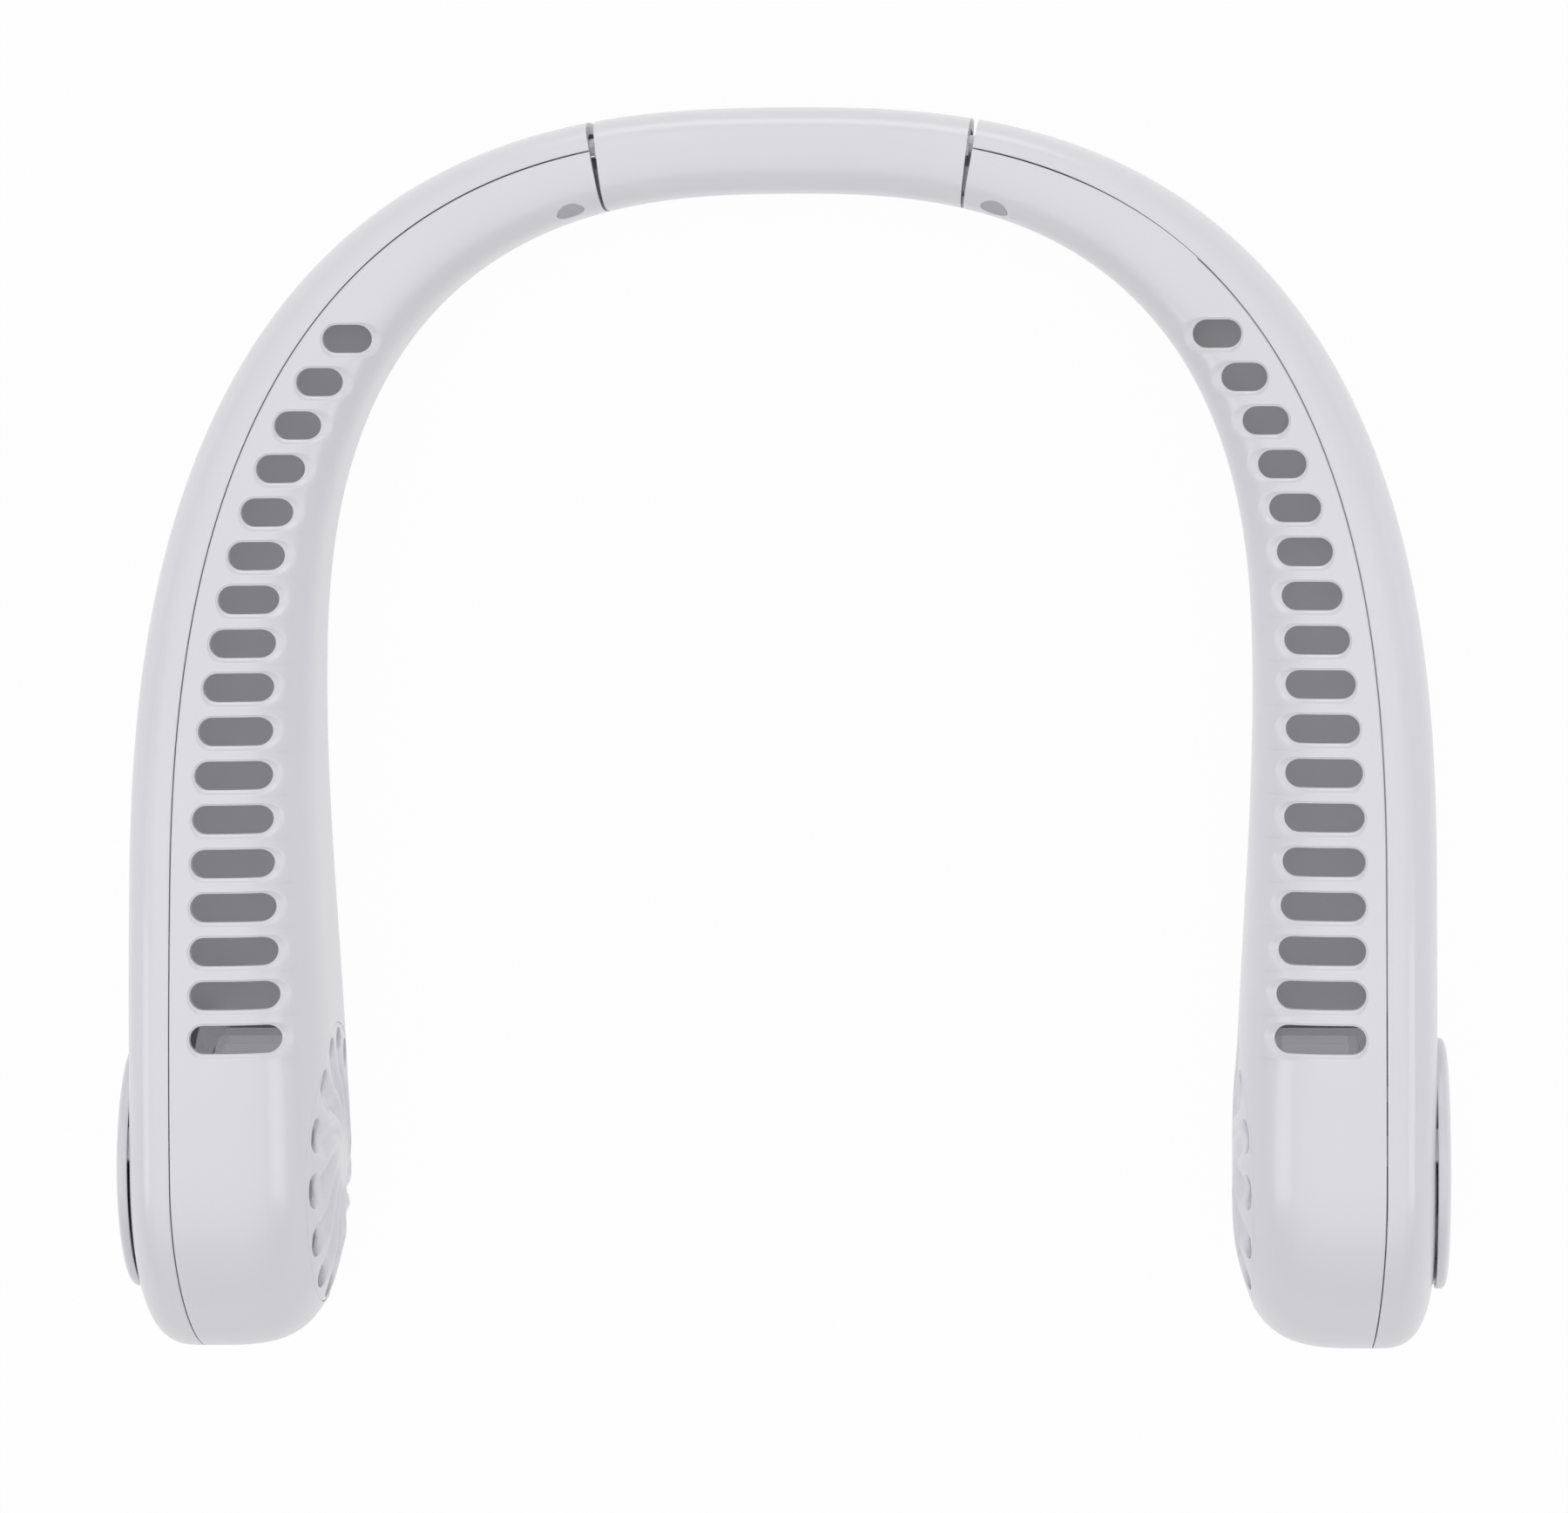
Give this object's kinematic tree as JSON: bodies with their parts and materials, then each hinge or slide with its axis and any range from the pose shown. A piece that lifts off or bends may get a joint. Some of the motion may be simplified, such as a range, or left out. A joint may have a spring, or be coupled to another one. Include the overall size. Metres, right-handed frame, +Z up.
{
  "type": "neck fan",
  "caption": "U-shaped hands-free neck fan with hinged hollow arms, outlet slots along their tops, and a centrifugal fan behind a swirl grille in each round end.",
  "frame": {"origin": "under the middle of the whole object, on the surface that it lies on", "axes": "+X to the wearer's right arm, +Y to the back of the neck, +Z up, outlet slots upwards"},
  "size_m": [0.2043, 0.1914, 0.0567],
  "materials": {
    "white_shell": "satin gloss white",
    "inner_plastic": "moulded white",
    "button_plastic": "satin",
    "grey_rubber": "matte silicone",
    "dark_plastic": "moulded dark grey",
    "milky_plastic": "milky",
    "wire_jacket": "soft wire jacket",
    "battery_wrap": "pouch foil",
    "board": "solder mask",
    "steel": "plain",
    "magnet": "plain ferrite",
    "copper": "enamelled copper wire"
  },
  "bodies": {
    "bridge": {"bridge_shell": "white_shell", "bridge_ribbon": "wire_jacket", "hinge_knuckle_left": "inner_plastic", "hinge_knuckle_right": "inner_plastic"},
    "left_arm": {"inner_shell_left": "white_shell", "outer_shell_left": "white_shell", "intake_grille_left": "white_shell", "cover_plate_left": "white_shell", "fan_scroll_left": "inner_plastic", "duct_floor_left": "inner_plastic", "battery_left": "battery_wrap", "bearing_tube_left": "steel", "motor_bearings_left": "steel", "stator_core_left": "steel", "stator_coils_left": "copper", "hinge_bracket_left": "steel", "hinge_pin_left": "steel", "hinge_screw_left": "steel", "screw_plug_left": "grey_rubber", "shell_screws_left": "steel", "arm_ribbon_left": "wire_jacket"},
    "right_arm": {"inner_shell_right": "white_shell", "outer_shell_right": "white_shell", "intake_grille_right": "white_shell", "cover_plate_right": "white_shell", "fan_scroll_right": "inner_plastic", "duct_floor_right": "inner_plastic", "battery_right": "battery_wrap", "bearing_tube_right": "steel", "motor_bearings_right": "steel", "stator_core_right": "steel", "stator_coils_right": "copper", "hinge_bracket_right": "steel", "hinge_pin_right": "steel", "hinge_screw_right": "steel", "screw_plug_right": "grey_rubber", "shell_screws_right": "steel", "arm_ribbon_right": "wire_jacket", "control_board": "board", "tact_switch": "dark_plastic", "light_pipe": "milky_plastic", "charge_board": "board", "usb_socket": "steel"},
    "left_rotor": {"impeller_left": "dark_plastic", "rotor_can_left": "steel", "rotor_magnet_left": "magnet", "motor_shaft_left": "steel"},
    "right_rotor": {"impeller_right": "dark_plastic", "rotor_can_right": "steel", "rotor_magnet_right": "magnet", "motor_shaft_right": "steel"},
    "button": {"power_button": "button_plastic"}
  },
  "joints": [
    {"name": "left_hinge", "type": "hinge", "parent": "bridge", "child": "left_arm", "pos_m": [-0.02844, 0.08432, 0.0132], "axis": [0, 0, -1], "range_deg": [0, 5]},
    {"name": "right_hinge", "type": "hinge", "parent": "bridge", "child": "right_arm", "pos_m": [0.02844, 0.08432, 0.0132], "axis": [0, 0, 1], "range_deg": [0, 5]},
    {"name": "left_rotor_spin", "type": "hinge", "parent": "left_arm", "child": "left_rotor", "pos_m": [-0.0829, -0.06736, 0.0282], "axis": [-1, 0, 0], "continuous": true},
    {"name": "right_rotor_spin", "type": "hinge", "parent": "right_arm", "child": "right_rotor", "pos_m": [0.0829, -0.06736, 0.0282], "axis": [1, 0, 0], "continuous": true},
    {"name": "button_press", "type": "slide", "parent": "right_arm", "child": "button", "axis": [-1, 0, 0], "range_m": [0, 0.0007], "stiffness_N_per_m": 2000, "springref_m": -0.0002}
  ]
}
